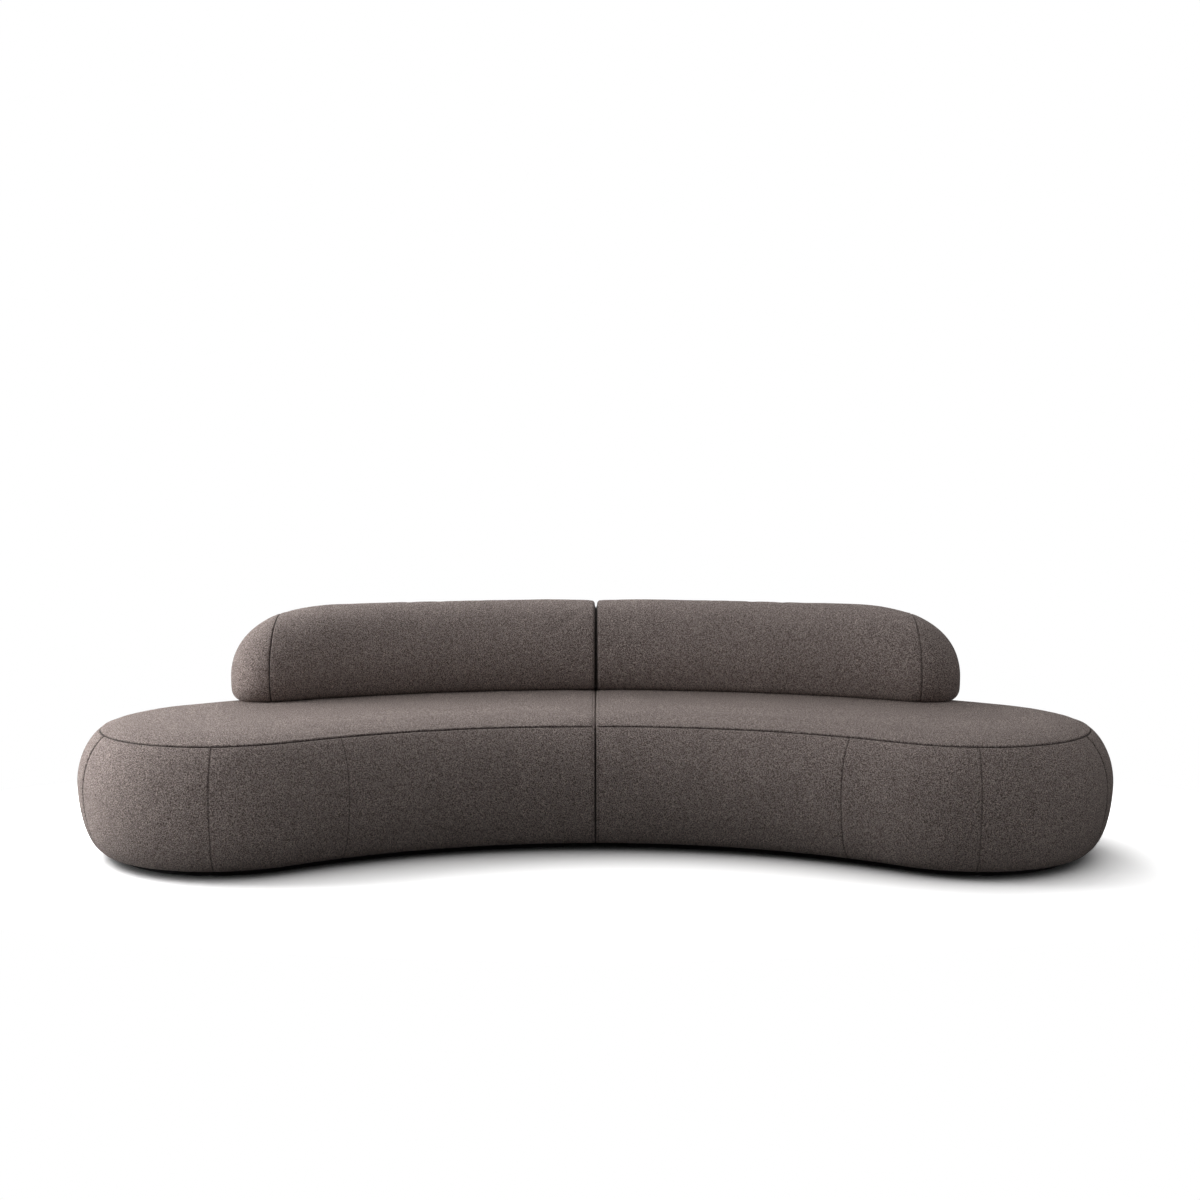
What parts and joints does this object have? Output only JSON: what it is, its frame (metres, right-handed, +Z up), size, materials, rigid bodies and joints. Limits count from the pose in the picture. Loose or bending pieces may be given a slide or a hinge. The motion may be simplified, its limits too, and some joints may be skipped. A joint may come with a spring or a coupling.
{
  "type": "curved sofa",
  "caption": "Curved modular sofa with round bulging ends, a low curved backrest on its rear half and a recessed plinth, upholstered in looped fabric.",
  "frame": {"origin": "on the floor, under the middle of the sofa's bounding box, in the joint's plane", "axes": "+X along the length to the right module, +Y to the rear, where the backrest stands, +Z up"},
  "size_m": [3.1876, 1.2914, 0.719],
  "materials": {
    "boucle": "matte",
    "foam": "matte",
    "plywood": "matte",
    "webbing": "matte",
    "plinth_black": "matte",
    "dust_cloth": "matte",
    "nylon": "matte",
    "steel": "satin"
  },
  "bodies": {
    "root": {"left_seat_cover": "boucle", "left_seat_top_foam": "foam", "left_seat_wall_foam": "foam", "left_base_board": "plywood", "left_top_board": "plywood", "left_frame_wall": "plywood", "left_joint_board": "plywood", "left_plinth": "plinth_black", "left_dust_cloth": "dust_cloth", "left_rib_1": "plywood", "left_rib_2": "plywood", "left_rib_3": "plywood", "left_strap_1": "webbing", "left_strap_2": "webbing", "left_strap_3": "webbing", "left_strap_4": "webbing", "left_glide_1": "nylon", "left_glide_2": "nylon", "left_glide_3": "nylon", "left_glide_4": "nylon", "left_back_cover": "boucle", "left_back_foam": "foam", "left_back_board": "plywood", "left_back_spine": "plywood", "left_back_gusset_1": "plywood", "left_back_gusset_2": "plywood", "left_back_post_1": "steel", "left_back_post_2": "steel", "right_seat_cover": "boucle", "right_seat_top_foam": "foam", "right_seat_wall_foam": "foam", "right_base_board": "plywood", "right_top_board": "plywood", "right_frame_wall": "plywood", "right_joint_board": "plywood", "right_plinth": "plinth_black", "right_dust_cloth": "dust_cloth", "right_rib_1": "plywood", "right_rib_2": "plywood", "right_rib_3": "plywood", "right_strap_1": "webbing", "right_strap_2": "webbing", "right_strap_3": "webbing", "right_strap_4": "webbing", "right_glide_1": "nylon", "right_glide_2": "nylon", "right_glide_3": "nylon", "right_glide_4": "nylon", "right_back_cover": "boucle", "right_back_foam": "foam", "right_back_board": "plywood", "right_back_spine": "plywood", "right_back_gusset_1": "plywood", "right_back_gusset_2": "plywood", "right_back_post_1": "steel", "right_back_post_2": "steel", "joining_plate_front": "steel", "joining_plate_rear": "steel"}
  },
  "joints": []
}
